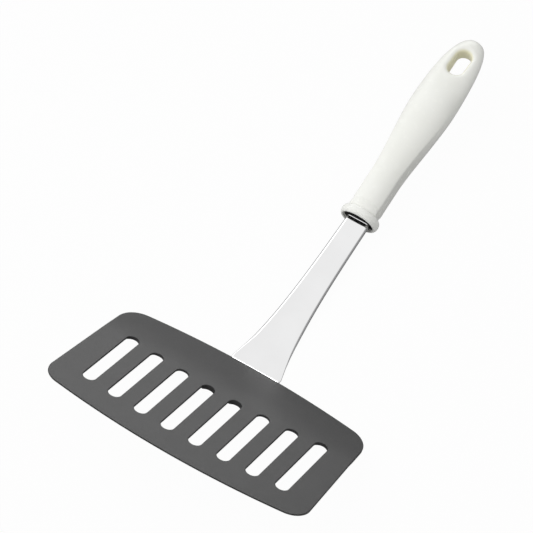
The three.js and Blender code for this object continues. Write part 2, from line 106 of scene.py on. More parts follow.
world = bpy.data.worlds.new("studio")
bpy.context.scene.world = world
world.use_nodes = True
world_nodes = world.node_tree.nodes
world_links = world.node_tree.links
world_nodes.clear()
rays = world_nodes.new("ShaderNodeLightPath")
seen = world_nodes.new("ShaderNodeMath")
seen.operation = "MAXIMUM"
seen_through = world_nodes.new("ShaderNodeMath")
seen_through.operation = "MAXIMUM"
fill_light = world_nodes.new("ShaderNodeBackground")
fill_light.inputs["Color"].default_value = WHITE
fill_light.inputs["Strength"].default_value = FILL_LEVEL
white_wall = world_nodes.new("ShaderNodeBackground")
white_wall.inputs["Color"].default_value = WHITE
choice = world_nodes.new("ShaderNodeMixShader")
sky = world_nodes.new("ShaderNodeOutputWorld")
world_links.new(rays.outputs["Is Camera Ray"], seen.inputs[0])
world_links.new(rays.outputs["Is Glossy Ray"], seen.inputs[1])
world_links.new(seen.outputs[0], seen_through.inputs[0])
world_links.new(rays.outputs["Is Transmission Ray"], seen_through.inputs[1])
world_links.new(seen_through.outputs[0], choice.inputs["Fac"])
world_links.new(fill_light.outputs[0], choice.inputs[1])
world_links.new(white_wall.outputs[0], choice.inputs[2])
world_links.new(choice.outputs[0], sky.inputs["Surface"])
print("World fill:", FILL_LEVEL)

# %% Lamps
LAMPS_LOOK_AT = Vector((0, 0, 0.02))


def soft_lamp(name, place, width, height, power):
    lamp_data = bpy.data.lights.new(name, "AREA")
    lamp_data.shape = "RECTANGLE"
    lamp_data.size = width
    lamp_data.size_y = height
    lamp_data.energy = power
    lamp = bpy.data.objects.new(name, lamp_data)
    lamp.location = place
    lamp.visible_camera = False
    aim = LAMPS_LOOK_AT - lamp.location
    lamp.rotation_euler = aim.to_track_quat("-Z", "Y").to_euler()
    bpy.context.scene.collection.objects.link(lamp)
    print("Lamp", name, "at", place, "power", power)
    return lamp


key_lamp = soft_lamp("key_lamp", (-0.57, -0.2, 0.96), width=0.9, height=0.9, power=7.5)
key_lamp.visible_glossy = False
left_card = soft_lamp("left_card", (-1.1, 0.36, 0.62), width=0.9, height=0.6, power=2.0)
left_card.visible_diffuse = False
back_card = soft_lamp("back_card", (-0.38, 0.75, 0.25), width=0.66, height=0.28, power=2.4)
back_card.visible_diffuse = False

# %% [markdown]
# ## Floor
# The turner lies on a white table. The table is a plain sheet that takes the soft shadow of the
# turner. For the rays that look at it, most of its colour is plain white, as in a picture
# whose background has been made white, and the rest is the lit sheet with its shadow. In mirrors
# it is nearly all lit sheet, because the steel's sides are grey where they mirror the table.

# %% Floor
FLOOR_SIZE = 4.0
FLOOR_WHITENESS = 0.97
FLOOR_IN_MIRRORS = 0.03
FLOOR_GREY = (0.56, 0.56, 0.56, 1)

floor_mesh = bpy.data.meshes.new("floor")
reach = FLOOR_SIZE / 2
corners = [(-reach, -reach, 0), (reach, -reach, 0), (reach, reach, 0), (-reach, reach, 0)]
floor_mesh.from_pydata(corners, [], [(0, 1, 2, 3)])
floor = bpy.data.objects.new("floor", floor_mesh)
bpy.context.scene.collection.objects.link(floor)

table_white = bpy.data.materials.new("table_white")
table_white.use_nodes = True
table_nodes = table_white.node_tree.nodes
table_links = table_white.node_tree.links
table_nodes.clear()
table_rays = table_nodes.new("ShaderNodeLightPath")
lit_sheet = table_nodes.new("ShaderNodeBsdfDiffuse")
lit_sheet.inputs["Color"].default_value = FLOOR_GREY
plain_white = table_nodes.new("ShaderNodeEmission")
table_seen = table_nodes.new("ShaderNodeMath")
table_seen.operation = "MULTIPLY"
table_seen.inputs[1].default_value = FLOOR_WHITENESS
table_mirrored = table_nodes.new("ShaderNodeMath")
table_mirrored.operation = "MULTIPLY_ADD"
table_mirrored.inputs[1].default_value = FLOOR_IN_MIRRORS
table_through = table_nodes.new("ShaderNodeMath")
table_through.operation = "MULTIPLY_ADD"
table_through.inputs[1].default_value = FLOOR_WHITENESS
table_choice = table_nodes.new("ShaderNodeMixShader")
table_out = table_nodes.new("ShaderNodeOutputMaterial")
table_links.new(table_rays.outputs["Is Camera Ray"], table_seen.inputs[0])
table_links.new(table_rays.outputs["Is Glossy Ray"], table_mirrored.inputs[0])
table_links.new(table_seen.outputs[0], table_mirrored.inputs[2])
table_links.new(table_rays.outputs["Is Transmission Ray"], table_through.inputs[0])
table_links.new(table_mirrored.outputs[0], table_through.inputs[2])
table_links.new(table_through.outputs[0], table_choice.inputs["Fac"])
table_links.new(lit_sheet.outputs[0], table_choice.inputs[1])
table_links.new(plain_white.outputs[0], table_choice.inputs[2])
table_links.new(table_choice.outputs[0], table_out.inputs["Surface"])
floor_mesh.materials.append(table_white)
print("Floor, m:", FLOOR_SIZE)

# %% [markdown]
# ## A skin of rows
# Every piece of the turner can be drawn as rows of points that follow each other: round the
# handle, round the stem, or from the rim of a slot down its wall. A small helper collects the
# rows and puts faces between them. All sizes are in millimetres, in the piece's own frame,
# and the finished piece is turned into the shared frame in metres.


# %% Helper: rows into a skin
class Skin:
    def __init__(self):
        self.points = []
        self.faces = []

    def row(self, points):
        first = len(self.points)
        self.points.extend(points)
        return list(range(first, len(self.points)))

    def join(self, row, next_row):
        for here in range(len(row)):
            after = (here + 1) % len(row)
            self.faces.append((row[here], row[after], next_row[after], next_row[here]))

    def loft(self, rows):
        placed = [self.row(points) for points in rows]
        for row, next_row in zip(placed, placed[1:]):
            self.join(row, next_row)
        return placed

    def closed_loft(self, rows):
        placed = self.loft(rows)
        self.faces.append(tuple(placed[0]))
        self.faces.append(tuple(placed[-1]))
        return placed


# %% Helper: a skin into a piece
def make_piece(name, skin, place):
    mesh = bpy.data.meshes.new(name)
    points = [(place @ Vector(point)) * MM for point in skin.points]
    mesh.from_pydata(points, [], skin.faces)
    work = bmesh.new()
    work.from_mesh(mesh)
    bmesh.ops.recalc_face_normals(work, faces=work.faces)
    work.to_mesh(mesh)
    work.free()
    piece = bpy.data.objects.new(name, mesh)
    bpy.context.scene.collection.objects.link(piece)
    return piece


# %% Helper: cut one piece with another
def cut(piece, cutter):
    boolean = piece.modifiers.new("cut", "BOOLEAN")
    boolean.operation = "DIFFERENCE"
    boolean.solver = "EXACT"
    boolean.object = cutter
    bpy.context.view_layer.update()
    whole = piece.evaluated_get(bpy.context.evaluated_depsgraph_get())
    mesh = bpy.data.meshes.new_from_object(whole)
    piece.modifiers.clear()
    before = piece.data
    piece.data = mesh
    bpy.data.meshes.remove(before)
    bpy.data.objects.remove(cutter)
    mesh.name = piece.name


# %% Helper: smooth faces with crisp edges, and a place in the frame
def finish_piece(piece, node, material, crisp_angle):
    mesh = piece.data
    mesh.materials.clear()
    mesh.materials.append(material)
    mesh.shade_smooth()
    mesh.set_sharp_from_angle(angle=math.radians(crisp_angle))
    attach(piece, "root")
    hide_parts(node)
    print(piece.name, "has", len(mesh.polygons), "faces")


# %% [markdown]
# ## Where the pieces meet
# The top edge of the blade's heel is the fixed point. From there the blade leans down towards
# its heel, the stem rises gently, and the handle rises a little more. The stem's side view is a
# straight tang inside the blade, one tight bend, and a long straight run.

# %% Places in the frame
HEEL = Vector((0, -70.7209, 3.73498))
BLADE_LEAN = math.radians(27.8)
HEEL_BEND = math.radians(1.5)
STEM_RISE = math.radians(6.1)
HANDLE_RISE = math.radians(10.1)
TANG_SLOPE = -BLADE_LEAN - HEEL_BEND
TANG_COVER = 1.5
BEND_LEAD = 1.2
STEM_BEND = 5.0
STEM_LENGTH = 98.5
FLANGE_DEPTH = 4.0


def along(slope):
    return Vector((0, math.cos(slope), math.sin(slope)))


def above(slope):
    return Vector((0, -math.sin(slope), math.cos(slope)))


tang_root = HEEL - above(TANG_SLOPE) * TANG_COVER
bend_start = tang_root + along(TANG_SLOPE) * BEND_LEAD
bend_centre = bend_start + above(TANG_SLOPE) * STEM_BEND
foot = bend_centre - above(STEM_RISE) * STEM_BEND
mouth = foot + along(STEM_RISE) * STEM_LENGTH - above(STEM_RISE) * FLANGE_DEPTH / 2
print("Mouth of the handle, mm:", [round(value, 2) for value in mouth])


# %% Helper: soft steps
def part_way(value, start, end):
    return min(1, max(0, (value - start) / (end - start)))


def ease(value, start, end):
    share = part_way(value, start, end)
    return share * share * (3 - 2 * share)


def between(start, end, share):
    return start + (end - start) * share


# %% [markdown]
# ## Stem
# The stem is pressed from steel sheet: broad at the blade, narrow at the handle, with its edges
# turned down into flanges that make it stiff. It could be bent from a flat sheet with
# modifiers, but then the flare and the flanges are hard to steer. Here one cross-section,
# the same number of points each time, is carried along the side view. Where it enters the
# handle, its top is pressed up into a small step with a thin ridge behind it: the ridge shows
# as a bright line in the dark mouth.

# %% Stem sizes along its length
SHEET = 1.2
FOOT_HALF = 14.5
NECK_HALF = 6.3
FLARE_HALVING = 21
FLANGE_RUN = 32


def stem_half(distance):
    return NECK_HALF + (FOOT_HALF - NECK_HALF) * 0.5 ** (distance / FLARE_HALVING)


def stem_depth(distance):
    return between(SHEET, FLANGE_DEPTH, ease(distance, 0, FLANGE_RUN))


# %% Step and ridge at the mouth of the handle
RIDGE_AT = STEM_LENGTH + 0.6
RIDGE_HALF = 0.38
RIDGE_HEIGHT = 0.26
STEP_START = STEM_LENGTH - 5.2
STEP_END = STEM_LENGTH - 1.7
STEP_HEIGHT = 0.36


def raised_at(distance):
    ramp = part_way(distance, STEP_START, STEP_END)
    fall = part_way(distance, STEP_END, RIDGE_AT + RIDGE_HALF)
    ridge = RIDGE_HEIGHT * (1 - ease(abs(distance - RIDGE_AT), 0, RIDGE_HALF))
    return STEP_HEIGHT * ramp * ramp * (1 - fall) + ridge


print("Step at the mouth, mm:", round(raised_at(STEP_END), 2))

# %% Stem stations of the front tang and the bend
FRONT_TANG = 22
FRONT_TANG_CORNER = 3
CORNER_STEPS = 8
TANG_FROM = 6
TANG_STEP = 2
BEND_STEPS = 24


def quarter_turns(steps):
    return [math.pi / 2 * step / steps for step in range(steps + 1)]


def front_stations():
    tip = tang_root - along(TANG_SLOPE) * FRONT_TANG
    stations = []
    for turn in quarter_turns(CORNER_STEPS):
        ahead = FRONT_TANG_CORNER * (1 - math.cos(turn))
        half = FOOT_HALF - FRONT_TANG_CORNER * (1 - math.sin(turn))
        stations.append((tip + along(TANG_SLOPE) * ahead, TANG_SLOPE, half, SHEET, 0))
    for ahead in range(TANG_FROM, FRONT_TANG + 1, TANG_STEP):
        stations.append((tip + along(TANG_SLOPE) * ahead, TANG_SLOPE, FOOT_HALF, SHEET, 0))
    for step in range(BEND_STEPS + 1):
        slope = between(TANG_SLOPE, STEM_RISE, step / BEND_STEPS)
        stations.append((bend_centre - above(slope) * STEM_BEND, slope, FOOT_HALF, SHEET, 0))
    return stations


print("Stations of the front tang and the bend:", len(front_stations()))

# %% Stem stations of the straight run and the rear tang
PLUG_BACK = STEM_LENGTH + 4.4
RIDGE_STEPS = 7
RAMP_STEPS = 12
TAPER = 4
TAPER_STEPS = 8
REAR_TANG = 56
REAR_TANG_HALF = 4.5
REAR_TANG_FROM = 110
REAR_TANG_STEP = 4


def rear_stations():
    stations = []
    distances = list(range(1, round(PLUG_BACK)))
    for step in range(-RIDGE_STEPS, RIDGE_STEPS + 1):
        distances.append(RIDGE_AT + RIDGE_HALF * step / RIDGE_STEPS)
    for step in range(1, RAMP_STEPS + 1):
        distances.append(between(STEP_START, STEP_END, step / RAMP_STEPS))
    for distance in sorted(distances):
        place = foot + along(STEM_RISE) * distance
        shape = (stem_half(distance), stem_depth(distance), raised_at(distance))
        stations.append((place, STEM_RISE, *shape))
    for step in range(TAPER_STEPS + 1):
        share = ease(step / TAPER_STEPS, 0, 1)
        place = foot + along(STEM_RISE) * (PLUG_BACK + TAPER * step / TAPER_STEPS)
        half = between(stem_half(PLUG_BACK), REAR_TANG_HALF, share)
        stations.append((place, STEM_RISE, half, between(FLANGE_DEPTH, SHEET, share), 0))
    for distance in range(REAR_TANG_FROM, round(STEM_LENGTH + REAR_TANG), REAR_TANG_STEP):
        place = foot + along(STEM_RISE) * distance
        stations.append((place, STEM_RISE, REAR_TANG_HALF, SHEET, 0))
    end = foot + along(STEM_RISE) * (STEM_LENGTH + REAR_TANG)
    stations.append((end, STEM_RISE, REAR_TANG_HALF, SHEET, 0))
    return stations


stem_stations = front_stations() + rear_stations()
print("Stem stations:", len(stem_stations))

# %% Outside of the stem's cross-section
SHOULDER = 2.1
SHOULDER_STEPS = 10
SHOULDER_SUPPORT = 0.3
EDGE_ROUND = 0.25
EDGE_STEPS = 3
SIDE_LEFT = 0.05


def stem_outside(half, depth, grow):
    shoulder = min(SHOULDER, depth - EDGE_ROUND - SIDE_LEFT)
    side = []
    for turn in quarter_turns(EDGE_STEPS):
        across = half - EDGE_ROUND * (1 - math.sin(turn))
        side.append((across, EDGE_ROUND * (1 - math.cos(turn)) - depth))
    for turn in quarter_turns(SHOULDER_STEPS):
        across = half - shoulder * (1 - math.cos(turn))
        side.append((across, shoulder * (math.sin(turn) - 1)))
    side.append((half - shoulder - SHOULDER_SUPPORT, 0))
    side.append((half / 2, 0))
    side = [(x + grow, up + (grow if up > -shoulder else -grow)) for x, up in side]
    return side + [(0, grow)] + [(-x, up) for x, up in reversed(side)]


print("Points outside:", len(stem_outside(FOOT_HALF, FLANGE_DEPTH, 0)))

# %% Inside of the stem's cross-section
INNER_ROUND = 0.8
INNER_STEPS = 6
ROUND_FULL_AT = 1.4
LIP_FULL_AT = 0.8
LIP_BULGE = 0.3
WALL_DRAFT = 0.05
CEILING_SUPPORT = 0.4


def stem_inside(half, depth):
    hollow = depth - SHEET
    lip = EDGE_ROUND * min(1, hollow / LIP_FULL_AT)
    round_up = INNER_ROUND * min(1, hollow / ROUND_FULL_AT)
    wall = half - SHEET
    side = [(wall + EDGE_ROUND, -depth)]
    side.append((wall + EDGE_ROUND * LIP_BULGE, lip * LIP_BULGE - depth))
    side.append((wall, lip - depth))
    for turn in quarter_turns(INNER_STEPS):
        across = wall - WALL_DRAFT - INNER_ROUND * (1 - math.cos(turn))
        side.append((across, round_up * (math.sin(turn) - 1) - SHEET))
    side.append((wall * CEILING_SUPPORT, -SHEET))
    return [(-x, up) for x, up in side] + [(0, -SHEET)] + list(reversed(side))


print("Points inside:", len(stem_inside(FOOT_HALF, FLANGE_DEPTH)))


# %% Stem
def stem_row(station, section):
    place, slope, half, depth, raised = station
    row = []
    for x, up in section(half, depth):
        lift = raised * max(0, 1 + up / SHEET)
        row.append(Vector((x, 0, 0)) + place + above(slope) * (up + lift))
    return row


def stem_section(half, depth):
    return stem_outside(half, depth, 0) + stem_inside(half, depth)


def stem_skin(section):
    skin = Skin()
    skin.closed_loft([stem_row(station, section) for station in stem_stations])
    return skin


IN_FRAME = Matrix.Identity(4)
stem = make_piece("stem", stem_skin(stem_section), IN_FRAME)
print("Stem points:", len(stem.data.vertices))

# %% [markdown]
# The blade and the handle are moulded round the two ends of the stem, so each has a pocket of
# the stem's own shape. The same rows, grown by a hair and without the hollow underneath,
# make the tool that cuts these pockets.

# %% Cutter for the pockets
POCKET_GAP = 0.1


def stem_blank(half, depth):
    return stem_outside(half, depth, POCKET_GAP)


def pocket_cutter():
    return make_piece("pocket", stem_skin(stem_blank), IN_FRAME)


print("Gap round the stem, mm:", POCKET_GAP)

# %% [markdown]
# ## Blade
# The blade is moulded nylon, a bowed plate with rounded corners and eight drain slots. A plate
# like this is often made by cutting slots with Booleans and adding a Bevel modifier. Here
# the outlines are drawn as arcs, because an arc can be set in by any distance: the same
# outline at a few insets gives the round rim of the plate and of every slot.

# %% Outline of the blade
BLADE_LENGTH = 94.6
FRONT_HALF = 75.6
BACK_HALF = 71.9
FRONT_BOW = 423
BACK_BOW = 390
FRONT_CORNER = 11
BACK_CORNER = 13
SLOT_LENGTH = 47.4
FRONT_MARGIN = 15.2
FRONT_Y = -SLOT_LENGTH / 2 - FRONT_MARGIN
BACK_Y = FRONT_Y + BLADE_LENGTH
front_bow_centre = Vector((0, FRONT_Y + FRONT_BOW))
back_bow_centre = Vector((0, BACK_Y - BACK_BOW))
side_run = Vector((BACK_HALF - FRONT_HALF, BLADE_LENGTH)).normalized()
side_inward = Vector((-side_run.y, side_run.x))


def corner_centre(bow_centre, bow, corner, end):
    start = Vector((FRONT_HALF, FRONT_Y)) + side_inward * corner
    offset = start - bow_centre
    slide = offset.dot(side_run)
    root = math.sqrt(slide ** 2 - offset.length_squared + (bow - corner) ** 2)
    return start + side_run * (end * root - slide)


front_corner = corner_centre(front_bow_centre, FRONT_BOW, FRONT_CORNER, -1)
back_corner = corner_centre(back_bow_centre, BACK_BOW, BACK_CORNER, 1)
print("Corner centres, mm:", front_corner[:], back_corner[:])


# %% Helper: arcs and straight runs
def arc(centre, radius, start, end, steps):
    turns = [between(start, end, step / steps) for step in range(steps + 1)]
    return [(centre[0] + radius * math.cos(t), centre[1] + radius * math.sin(t)) for t in turns]


def straight(start, end, steps):
    shares = [step / steps for step in range(1, steps)]
    return [(between(start[0], end[0], s), between(start[1], end[1], s)) for s in shares]


# %% Outline of the blade at an inset
FRONT_BOW_STEPS = 90
FRONT_CORNER_STEPS = 18
SIDE_RUN_STEPS = 40
BACK_CORNER_STEPS = 20
BACK_BOW_STEPS = 160


def blade_outline(inset):
    front_out = front_corner - front_bow_centre
    back_out = back_corner - back_bow_centre
    front_turn = math.atan2(front_out.y, front_out.x)
    back_turn = math.atan2(back_out.y, back_out.x)
    side_turn = math.atan2(-side_inward.y, -side_inward.x)
    bow, corner = FRONT_BOW - inset, FRONT_CORNER - inset
    front = arc(front_bow_centre, bow, -math.pi / 2, front_turn, FRONT_BOW_STEPS)
    front += arc(front_corner, corner, front_turn, side_turn, FRONT_CORNER_STEPS)[1:]
    bow, corner = BACK_BOW - inset, BACK_CORNER - inset
    back = arc(back_corner, corner, side_turn, back_turn, BACK_CORNER_STEPS)
    back += arc(back_bow_centre, bow, back_turn, math.pi / 2, BACK_BOW_STEPS)[1:]
    right = front + straight(front[-1], back[0], SIDE_RUN_STEPS) + back
    return right + [(-x, y) for x, y in reversed(right[1:-1])]


print("Points round the blade:", len(blade_outline(0)))

# %% Outline of a slot, grown into the plate
SLOT_COUNT = 8
SLOT_PITCH = 16
SLOT_HALF = 3.55
SLOT_FRONT_BOW = 450
SLOT_BACK_BOW = 350
SLOT_END_STEPS = 28
SLOT_SIDE_STEPS = 20


def slot_outline(x, grow):
    front = SLOT_HALF - SLOT_LENGTH / 2 + x * x / (2 * SLOT_FRONT_BOW)
    back = SLOT_LENGTH / 2 - SLOT_HALF + x * x / (2 * SLOT_BACK_BOW)
    front_end = arc((x, front), SLOT_HALF + grow, -math.pi, 0, SLOT_END_STEPS)
    back_end = arc((x, back), SLOT_HALF + grow, 0, math.pi, SLOT_END_STEPS)
    right = straight(front_end[-1], back_end[0], SLOT_SIDE_STEPS)
    left = straight(back_end[-1], front_end[0], SLOT_SIDE_STEPS)
    return front_end + right + back_end + left


slot_places = [(slot - (SLOT_COUNT - 1) / 2) * SLOT_PITCH for slot in range(SLOT_COUNT)]
print("Slots at, mm:", slot_places)

# %% [markdown]
# The food face is flat as far as the end of the slots. Behind them it bends down by a degree
# and a half. Underneath, the plate thins out to its front edge, and a pad as wide as
# the foot of the stem holds the tang. Both faces are written as heights over the outline.

# %% Heights of the blade's faces
EDGE_THICKNESS = 0.8
BEVEL_LENGTH = 8
PLATE_THICKNESS = 1.3
HEEL_THICKNESS = 1.9
HEEL_BEND_RADIUS = 150
HUB_HALF = 18
HUB_CORNER = 7
HUB_NOSE_Y = SLOT_LENGTH / 2 - 3
HUB_NOSE_THICKNESS = 2.5
HUB_THICKNESS = 4.2
HUB_SLOPE = 1.4
BEND_FROM = SLOT_LENGTH / 2
BEND_TO = BEND_FROM + HEEL_BEND_RADIUS * math.sin(HEEL_BEND)


def food_face(x, y):
    past = min(max(0, y - BEND_FROM), BEND_TO - BEND_FROM)
    bend = math.sqrt(HEEL_BEND_RADIUS ** 2 - past ** 2) - HEEL_BEND_RADIUS
    return bend - max(0, y - BEND_TO) * math.tan(HEEL_BEND)


def plate_floor(x, y):
    from_edge = FRONT_BOW - (Vector((x, y)) - front_bow_centre).length
    thin = between(EDGE_THICKNESS, PLATE_THICKNESS, part_way(from_edge, 0, BEVEL_LENGTH))
    return food_face(x, y) - between(thin, HEEL_THICKNESS, ease(y, BEND_FROM, BEND_TO))


def hub_share(x, y):
    out_x = abs(x) - HUB_HALF + HUB_CORNER
    out_y = HUB_NOSE_Y + HUB_CORNER - y
    if out_x > 0 and out_y > 0:
        outside = math.hypot(out_x, out_y) - HUB_CORNER
    else:
        outside = max(out_x, out_y) - HUB_CORNER
    return 1 - ease(outside, -HUB_SLOPE, 0)


def underside(x, y):
    tip = BACK_Y - FRONT_TANG
    full = part_way(y, HUB_NOSE_Y, tip)
    hub = between(-HUB_NOSE_THICKNESS, food_face(0, tip) - HUB_THICKNESS, full)
    if y > tip:
        hub = food_face(x, y) - HUB_THICKNESS
    floor_here = plate_floor(x, y)
    return between(floor_here, min(floor_here, hub), hub_share(x, y))


print("Blade at the heel, mm:", round(food_face(0, BACK_Y), 2), round(underside(0, BACK_Y), 2))

# %% Rim rows, from the food face over the edge to the underside
RIM = 0.35
RIM_STEPS = 5
RIM_SUPPORT = 0.2


def rim_rows(outline):
    turns = quarter_turns(RIM_STEPS)
    rows = [[(x, y, food_face(x, y)) for x, y in outline(RIM + RIM_SUPPORT)]]
    for turn in turns:
        drop = RIM * (1 - math.cos(turn))
        loop = outline(RIM * (1 - math.sin(turn)))
        rows.append([(x, y, food_face(x, y) - drop) for x, y in loop])
    for turn in reversed(turns):
        lift = RIM * (1 - math.cos(turn))
        loop = outline(RIM * (1 - math.sin(turn)))
        rows.append([(x, y, underside(x, y) + lift) for x, y in loop])
    rows.append([(x, y, underside(x, y)) for x, y in outline(RIM + RIM_SUPPORT)])
    return rows


blade_skin = Skin()
outer_rows = blade_skin.loft(rim_rows(blade_outline))
slot_rows = []
for slot_x in slot_places:
    rows = rim_rows(lambda inset, x=slot_x: slot_outline(x, inset))
    slot_rows.append(blade_skin.loft(rows))
print("Rim points:", len(blade_skin.points))

# %% [markdown]
# Between the rims, both faces are filled with a net of triangles. Blender's constrained Delaunay
# tool keeps the outlines as edges and takes extra points inside them. The extra points
# lie close together where a face bends, and on the slopes of the pad.


# %% Helper: points well inside the outline
def inside(points, loop):
    loop = np.array(loop)
    run = np.roll(loop, -1, axis=0) - loop
    offset = points[:, None, :] - loop[None, :, :]
    turned = run[None, :, 0] * offset[:, :, 1] - run[None, :, 1] * offset[:, :, 0]
    return np.all(turned > 0, axis=1)


def clear_points(points, gap):
    points = np.array(points)
    points = points[inside(points, blade_outline(RIM + RIM_SUPPORT + gap))]
    for slot_x in slot_places:
        points = points[~inside(points, slot_outline(slot_x, RIM + RIM_SUPPORT + gap))]
    return [tuple(point) for point in points]


# %% Points over the plate and close together along the bend
NET_ROWS = 40
NET_STEP = 2.4
BEND_ROWS = 8
BEND_REACH = 0.5
OFF_THE_SLOTS = 0.07


def net_row(y, row, columns, width, shift):
    return [(column * width + shift * (row % 2), y) for column in range(-columns, columns + 1)]


def net_points():
    points = []
    for row in range(NET_ROWS):
        points += net_row(FRONT_Y + NET_STEP * row, row, columns=30, width=2.5, shift=0.4)
    for row in range(BEND_ROWS + 1):
        y = between(BEND_FROM - BEND_REACH, BEND_TO + BEND_REACH, row / BEND_ROWS)
        points += net_row(y + OFF_THE_SLOTS, row, columns=35, width=2.1, shift=0.6)
    return points


print("Points over the plate:", len(net_points()))

# %% Points on the slopes of the pad
SLOPE_STEPS = 6
HUB_CORNER_STEPS = 14
HUB_SPACING = 0.8


def hub_points():
    corner = (HUB_HALF - HUB_CORNER, HUB_NOSE_Y + HUB_CORNER)
    across = np.arange(HUB_SPACING / 2, corner[0], HUB_SPACING)
    back = np.arange(corner[1] + HUB_SPACING, BACK_Y, HUB_SPACING)
    points = []
    for step in range(-1, SLOPE_STEPS + 2):
        inset = HUB_SLOPE * step / SLOPE_STEPS
        turns = arc(corner, HUB_CORNER - inset, -math.pi / 2, 0, HUB_CORNER_STEPS)
        edge = [(x, HUB_NOSE_Y + inset) for x in across]
        side = [(HUB_HALF - inset, y) for y in back]
        for x, y in edge + turns + side:
            points += [(x, y), (-x, y)]
    return points


print("Points on the pad:", len(hub_points()))

# %% Fill the faces of the blade
INSIDE_ONLY = 1
NET_TOLERANCE = 1e-6
FOOD_FACE_GAP = 0.8
UNDERSIDE_GAP = 0.5


def fill_face(row_index, inner, height):
    flat, index, edges, owner = [], [], [], []
    for number, rows in enumerate([outer_rows] + slot_rows):
        first = len(flat)
        row = rows[row_index]
        count = len(row)
        flat += [Vector(blade_skin.points[point][:2]) for point in row]
        index += row
        owner += [number] * count
        edges += [(first + k, first + (k + 1) % count) for k in range(count)]
    flat += [Vector(point) for point in inner]
    owner += [0] * len(inner)
    index += blade_skin.row([(x, y, height(x, y)) for x, y in inner])
    net = delaunay_2d_cdt(flat, edges, [], INSIDE_ONLY, NET_TOLERANCE)
    triangles, origins = net[2], net[3]
    for triangle in triangles:
        corners = [origins[corner][0] for corner in triangle]
        owners = {owner[corner] for corner in corners}
        if owners == {0} or len(owners) > 1:
            blade_skin.faces.append(tuple(index[corner] for corner in corners))


fill_face(0, clear_points(net_points(), FOOD_FACE_GAP), food_face)
fill_face(-1, clear_points(net_points() + hub_points(), UNDERSIDE_GAP), underside)
print("Blade faces:", len(blade_skin.faces))

# %% Blade
heel_in_blade = Vector((0, BACK_Y, food_face(0, BACK_Y)))
lean_at_heel = Matrix.Translation(HEEL) @ Matrix.Rotation(-BLADE_LEAN, 4, "X")
blade_place = lean_at_heel @ Matrix.Translation(-heel_in_blade)
blade = make_piece("blade", blade_skin, blade_place)
cut(blade, pocket_cutter())
print("Blade points:", len(blade.data.vertices))

# %% [markdown]
# ## Handle
# The handle is one moulding: a bead round the mouth, a neck with flat sides and a domed back, a
# swell for the palm, and a flat round butt with a hole to hang it by. It could be sculpted from
# a cylinder, but then the flats and the bead would drift. Here rings are drawn at
# many places along it, each between an oval and the flat-sided section.

# %% Ring of the handle
RING_COUNT = 192
FLAT_HEIGHT = 12
NECK_HEIGHT = 18.2
SIDE_STEPS = 20
QUARTER_STEPS = 60


def quarter(width, height, flat):
    half, crown = width / 2, height / 2
    edge = FLAT_HEIGHT / 2 * height / NECK_HEIGHT
    rise = crown - edge
    dome = (half * half + rise * rise) / (2 * rise)
    dome_start = math.asin((dome - rise) / dome)
    crease = math.atan2(edge, half)
    points = []
    for step in range(QUARTER_STEPS + 1):
        on_side = min(1, step / SIDE_STEPS)
        on_dome = max(0, (step - SIDE_STEPS) / (QUARTER_STEPS - SIDE_STEPS))
        turn = crease * on_side + (math.pi / 2 - crease) * on_dome
        dome_turn = between(dome_start, math.pi / 2, on_dome)
        flat_x = half if on_side < 1 else dome * math.cos(dome_turn)
        flat_z = edge * on_side if on_side < 1 else crown - dome * (1 - math.sin(dome_turn))
        x = between(half * math.cos(turn), flat_x, flat)
        points.append((x, between(crown * math.sin(turn), flat_z, flat)))
    return points


def even_loop(points):
    loop = np.array(list(points) + [points[0]])
    run = np.concatenate([[0], np.cumsum(np.hypot(*np.diff(loop, axis=0).T))])
    wanted = np.linspace(0, run[-1], RING_COUNT, endpoint=False)
    return np.stack([np.interp(wanted, run, loop[:, axis]) for axis in (0, 1)], axis=1)


def even_ring(width, height, flat):
    top = quarter(width, height, flat)
    top = top + [(-x, z) for x, z in reversed(top[:-1])]
    ring = even_loop(top + [(x, -z) for x, z in reversed(top[1:-1])])
    return (np.roll(ring, 1, axis=0) + 2 * ring + np.roll(ring, -1, axis=0)) / 4


print("Points round the handle:", RING_COUNT)

# %% Handle sizes along its length
HANDLE_LENGTH = 124.72
NECK_WIDTH = 15.8
NECK_END = 28
FLAT_START = 34
FLAT_END = 82
SWELL_WIDTH = 25.8
SWELL_HEIGHT = 18.8
SWELL_AT = 78.2
BUTT_TAPER = 2.1
BUTT_FULLNESS = 2.9
BUTT_HEIGHT = 14
BUTT_AT = 96
TIP_HEIGHT = 10.4
TIP_BLUNTNESS = 4
DROOP_START = 88
DROOP_RADIUS = 180


def into_tip(y, start):
    return part_way(y, start, HANDLE_LENGTH)


def rounded(past, taper, fullness):
    return (1 - past ** taper) ** (1 / fullness)


def grip_width(y):
    if y < SWELL_AT:
        return between(NECK_WIDTH, SWELL_WIDTH, ease(y, NECK_END, SWELL_AT))
    return SWELL_WIDTH * rounded(into_tip(y, SWELL_AT), BUTT_TAPER, BUTT_FULLNESS)


def grip_height(y):
    if y < SWELL_AT:
        return between(NECK_HEIGHT, SWELL_HEIGHT, ease(y, NECK_END, SWELL_AT))
    full = between(SWELL_HEIGHT, BUTT_HEIGHT, ease(y, SWELL_AT, BUTT_AT))
    past = into_tip(y, BUTT_AT)
    return between(full, TIP_HEIGHT, past) * rounded(past, TIP_BLUNTNESS, TIP_BLUNTNESS)


def grip_centre(y):
    return -max(0, y - DROOP_START) ** 2 / (2 * DROOP_RADIUS)


def ring_at(y, width, height, flat):
    return [(x, y, z + grip_centre(y)) for x, z in even_ring(width, height, flat)]


def grip_ring(y, sunk=0):
    flat = 1 - ease(y, FLAT_START, FLAT_END)
    return ring_at(y, grip_width(y) - 2 * sunk, grip_height(y) - 2 * sunk, flat)


print("Swell, mm:", round(grip_width(SWELL_AT), 1), "by", round(grip_height(SWELL_AT), 1))

